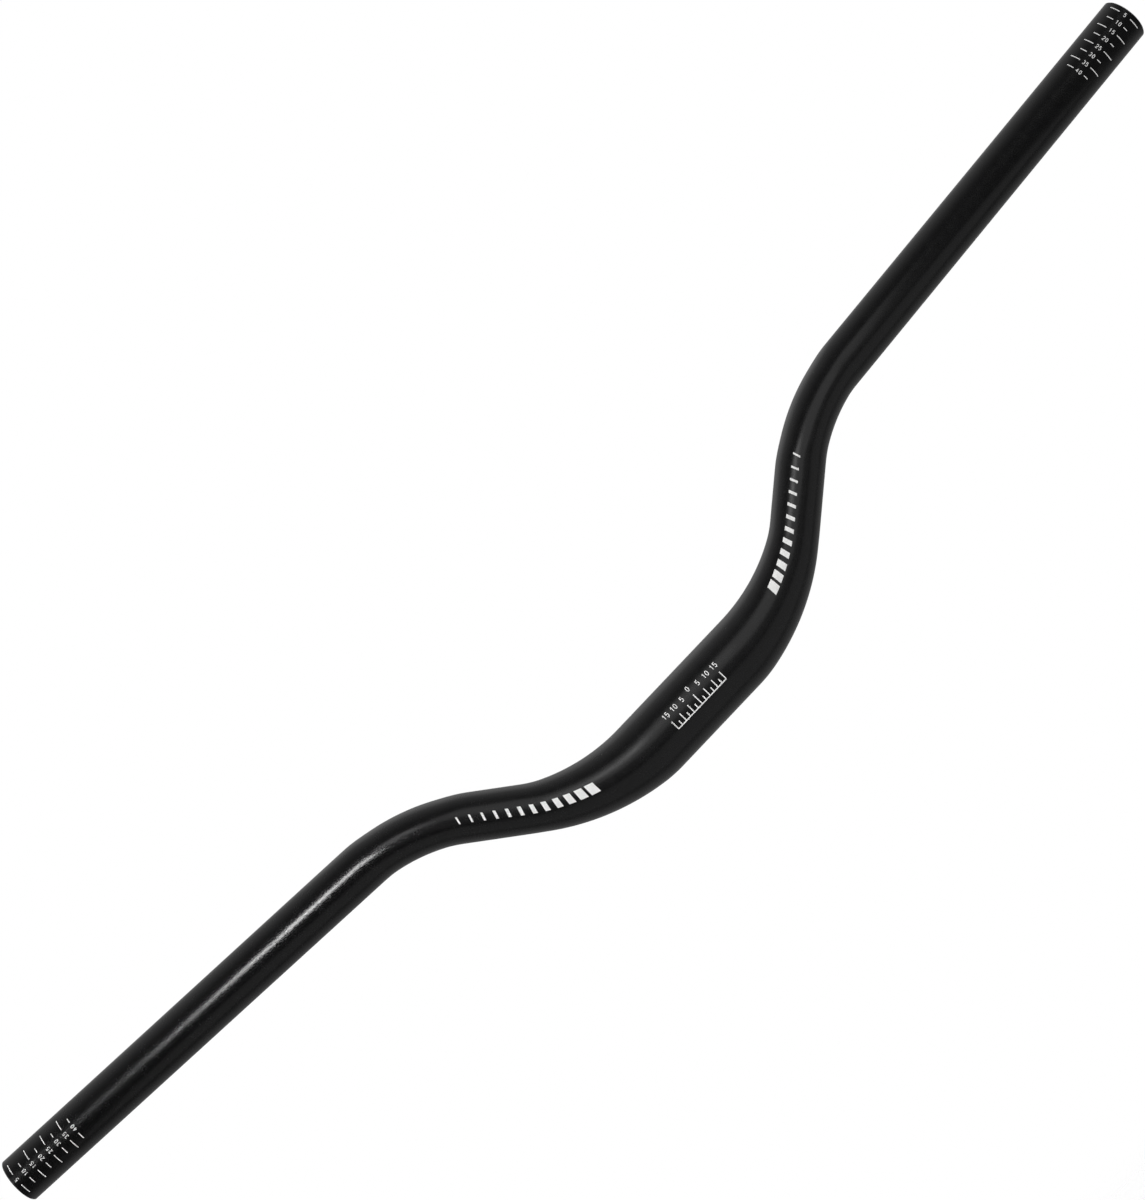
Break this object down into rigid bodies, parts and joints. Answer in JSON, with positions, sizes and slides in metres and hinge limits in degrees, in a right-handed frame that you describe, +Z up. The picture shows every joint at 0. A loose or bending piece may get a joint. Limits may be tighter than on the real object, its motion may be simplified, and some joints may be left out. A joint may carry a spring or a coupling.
{
  "type": "riser handlebar",
  "caption": "Black bicycle riser handlebar: a tapered aluminium tube with a round stem clamp zone, a rise on each side and straight grips swept back and up.",
  "frame": {"origin": "on the axis of the stem clamp zone, at the middle of the bar", "axes": "+X along the clamp axis to the rider's left, +Y back toward the rider, +Z up, with the bar turned in the stem to its stated back and up sweep"},
  "size_m": [0.7242, 0.0678, 0.1008],
  "materials": {
    "bar": "black, bead-blasted and anodised, satin"
  },
  "bodies": {
    "root": {"bar": "bar"}
  },
  "joints": []
}
